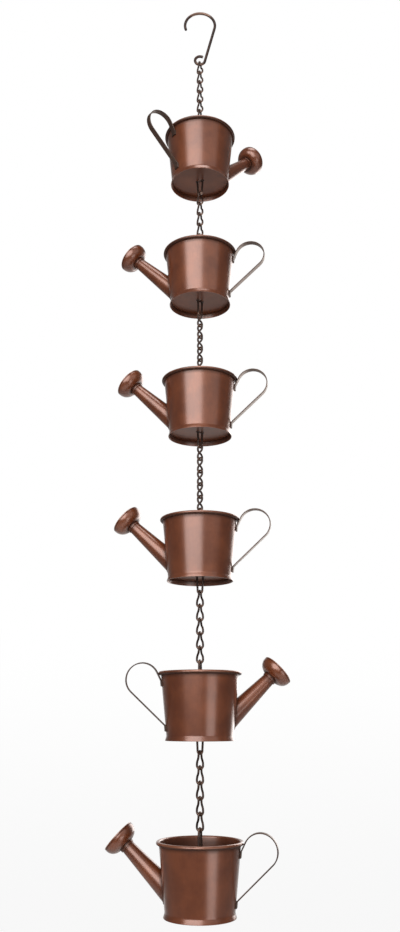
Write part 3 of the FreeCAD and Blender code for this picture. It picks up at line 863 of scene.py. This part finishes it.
def hook(wire):
    """A C over the bracket with a rounded tip, a straight shank and a nearly closed eye, in one wire."""
    bow = (0, -HOOK_RADIUS + HOOK_WIRE / 2)
    eye = (0, bow[1] - HOOK_DROP)
    lean = -math.asin((HOOK_RADIUS - HOOK_EYE_RADIUS) / HOOK_DROP)
    path = arc_points(eye, HOOK_EYE_RADIUS, lean - HOOK_EYE_SWEEP, lean, 48)
    bend = arc_points(bow, HOOK_RADIUS, lean, lean + HOOK_SWEEP, 80)
    path += line_points(path[-1], bend[0], 12)
    path += bend
    heading = Vector(path[-1]) - Vector(path[-2])
    tip = heading.normalized() * HOOK_WIRE / 2
    tail = Vector(path[-1])
    steps = 7
    thickness = [1.0] * len(path)
    for index in range(1, steps + 1):
        share = math.sin(math.pi / 2 * index / steps)
        path.append(tuple(tail + tip * share))
        thickness.append(max(0.02, math.sqrt(max(0, 1 - share * share))))
    line = [Vector((x, 0, z)) for x, z in path]
    obj = swept("gutter_hook", line, HOOK_WIRE / 2, sides=20, material=wire, thickness=thickness)

    eye_foot = eye[1] - HOOK_EYE_RADIUS

    def wear(spot):
        crown = rise(spot.z, -1.6 * HOOK_WIRE, -0.8 * HOOK_WIRE)
        low = 1 - rise(spot.z, eye_foot - HOOK_WIRE / 2, eye_foot + HOOK_WIRE)
        return max(crown, low)

    return painted(obj, "wear", wear)


def make_can(number, copper, strap_copper, wire):
    name = f"can_{number}"
    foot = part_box(f"{name}_shell")[0].z
    place = Matrix.Translation((0, 0, foot)) @ Matrix.Rotation(math.radians(CAN_TURN[number]), 4, "Z")
    set_down(tub(number, copper), place, name, "copper_sheet", f"{name}_shell")
    set_down(spout(number, copper), place, name, "copper_sheet", f"{name}_spout")
    set_down(rose(number, copper), place, name, "copper_sheet", f"{name}_rose")
    set_down(handle(number, strap_copper), place, name, "copper_sheet", f"{name}_handle")
    across = Matrix.Rotation(math.radians(RUN_TURN[number] + 45), 4, "Z")
    peak = Matrix.Translation((0, 0, foot + BAIL_PEAK)) @ across
    drop = BAIL_PEAK - FLOOR_TOP
    set_down(staple(f"bail_{number}", drop, wire), peak, name, "bronze_wire", f"{name}_bail")
    if number == CANS[-1]:
        return
    across = Matrix.Rotation(math.radians(RUN_TURN[number + 1] - 45), 4, "Z")
    trough = Matrix.Translation((0, 0, foot - EYE_DROP)) @ across @ Matrix.Rotation(math.pi, 4, "X")
    drop = EYE_DROP + BEND_TOP
    set_down(staple(f"eye_{number}", drop, wire), trough, name, "bronze_wire", f"{name}_eye")


def make_run(number, wire):
    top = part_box(f"chain_run_{number}")[1].z - LINK_WIRE / 2
    obj = new_object(f"link_run_{number}", [(0, 0, 0)])
    grow(obj, LINKS, {
        "Wire": LINK_WIRE,
        "Width": LINK_WIDTH,
        "Length": LINK_LENGTH,
        "Pitch": LINK_PITCH,
        "Links": RUN_LINKS[number],
        "Top": top,
        "Turn": math.radians(RUN_TURN[number]),
        "Material": wire,
    })
    tidy_mesh(obj)
    set_down(obj, Matrix.Identity(4), f"run_{number}", "bronze_wire", f"chain_run_{number}")


def pale_surface(low, high):
    """A pale matt surface that still takes shadows. It shows nearly white to the eye, and fully white high
    up and towards its edges. In metal only the part behind the chain glows, half as much."""
    material, tree = new_material("pale_paper")
    place = tree.node("ShaderNodeTexCoord")["Object"]
    spot = tree.node("ShaderNodeSeparateXYZ", {}, {0: place})
    ray = tree.node("ShaderNodeLightPath")
    aside = spot[0].math("ABSOLUTE")
    behind = spot[1].ramp(0.8, 2.3) * (1 - aside.ramp(1.2, 2.2))
    seen = ray["Is Camera Ray"].math("MAXIMUM", ray["Is Transmission Ray"])
    seen = seen.math("MAXIMUM", ray["Is Glossy Ray"] * behind * 0.5)
    edge = aside.ramp(1.5, 4).math("MAXIMUM", 1 - spot[1].ramp(-1.1, 0))
    glow = 0.9 + spot[2].ramp(low, high).math("MAXIMUM", edge) * 0.1
    matt = tree.node("ShaderNodeBsdfDiffuse", {}, {"Color": (0.9, 0.9, 0.9, 1)})[0]
    white = tree.node("ShaderNodeEmission", {}, {"Color": (1, 1, 1, 1), "Strength": 1.0})[0]
    both = tree.node("ShaderNodeMixShader", {}, {0: seen * glow, 1: matt, 2: white})[0]
    tree.node("ShaderNodeOutputMaterial", {}, {"Surface": both})
    return material


def make_paper():
    """A wide sheet of pale paper that lies below the chain and curves up far behind it."""
    level = cad_box[0].z - 0.85
    reach = 9
    front = -1.3
    cove = 2.4
    back = 3.8
    section = [(front, level)]
    section += arc_points((back - cove, level + cove), cove, -math.pi / 2, 0, 32)
    section += [(back, reach)]
    points = [(side * reach, y, z) for y, z in section for side in (-1, 1)]
    faces = [(row, row + 1, row + 3, row + 2) for row in range(0, len(points) - 2, 2)]
    paper = new_object("paper", points, (), faces)
    paper.data.shade_smooth()
    paper.data.materials.append(pale_surface(level, level + 0.6 * cove))


def make_room():
    """An even, dim light from all round, which shows white to the eye."""
    world = bpy.data.worlds.new("room")
    bpy.context.scene.world = world
    world.use_nodes = True
    world.node_tree.nodes.clear()
    tree = Tree(world.node_tree)
    ray = tree.node("ShaderNodeLightPath")
    seen = ray["Is Camera Ray"].math("MAXIMUM", ray["Is Transmission Ray"])
    seen = seen.math("MAXIMUM", ray["Is Glossy Ray"] * 0.03)
    strength = 0.1 + seen * 0.9
    room = tree.node("ShaderNodeBackground", {}, {"Color": (1, 1, 1, 1), "Strength": strength})[0]
    tree.node("ShaderNodeOutputWorld", {}, {"Surface": room})


def soft_box(name, spot, aim, width, height, power):
    light = bpy.data.lights.new(name, "AREA")
    light.shape = "RECTANGLE"
    light.size = width
    light.size_y = height
    light.energy = power
    obj = bpy.data.objects.new(name, light)
    bpy.context.scene.collection.objects.link(obj)
    obj.location = spot
    obj.rotation_euler = (Vector(aim) - Vector(spot)).to_track_quat("-Z", "Y").to_euler()
    obj.visible_camera = False


def make_camera():
    """Low in front of the chain, tilted up so that the hook and the last can sit near the frame's ends."""
    frame_height = 932
    focal_pixels = 868
    tilt = math.radians(16.3)
    lens = bpy.data.cameras.new("camera")
    lens.sensor_width = 36
    lens.lens = focal_pixels * lens.sensor_width / frame_height
    camera = bpy.data.objects.new("camera", lens)
    bpy.context.scene.collection.objects.link(camera)
    camera.location = (0, -0.81, -0.776)
    camera.rotation_euler = (math.pi / 2 + tilt, 0, 0)
    bpy.context.scene.camera = camera


SPIN = spin_tree()
WIRE = wire_tree()
LINKS = link_tree()

make_camera()
make_paper()
make_room()
soft_box("front_box", (-0.62, -1.6, -0.02), (0, 0, -0.02), width=1.8, height=1.66, power=30)
soft_box("fill_box", (0.97, -1.4, 0.15), (0, 0, 0.15), width=1.9, height=1.4, power=4.5)
soft_box("low_box", (1.05, -1.45, -1.35), (0, 0, -1.35), width=0.9, height=0.85, power=4.5)
soft_box("top_box", (0.1, -0.5, 1.1), (0, 0, -0.5), width=0.8, height=0.8, power=7)
soft_box("back_box", (1.0, 1.6, -0.2), (0, 0, -0.45), width=1.2, height=1.7, power=16)

copper = copper_sheet("copper_sheet", COPPER, shade_and_dullness=0.0, gloss=1.0, drawn_along=True)
# The strap, rose faces and can floors carry painted shade laid evenly over them (the floors most), and
# less gloss
strap_copper = copper_sheet("copper_strap", STRAP_COPPER, shade_and_dullness=0.1, gloss=0.15, drawn_along=True)
face_copper = copper_sheet("copper_face", COPPER, shade_and_dullness=0.25, gloss=0.2, drawn_along=False)
floor_copper = copper_sheet("copper_floor", COPPER, shade_and_dullness=0.3, gloss=0.4, drawn_along=False)
wire = bronze_wire()
set_down(hook(wire), Matrix.Identity(4), "hook", "bronze_wire", "hook")
for number in CANS:
    make_run(number, wire)
    make_can(number, copper, strap_copper, wire)
    for part in ("floor", "rose_face"):
        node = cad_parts[f"can_{number}_{part}"]
        node.data.materials.clear()
        node.data.materials.append(floor_copper if part == "floor" else face_copper)

bpy.context.scene.view_settings.view_transform = "Standard"
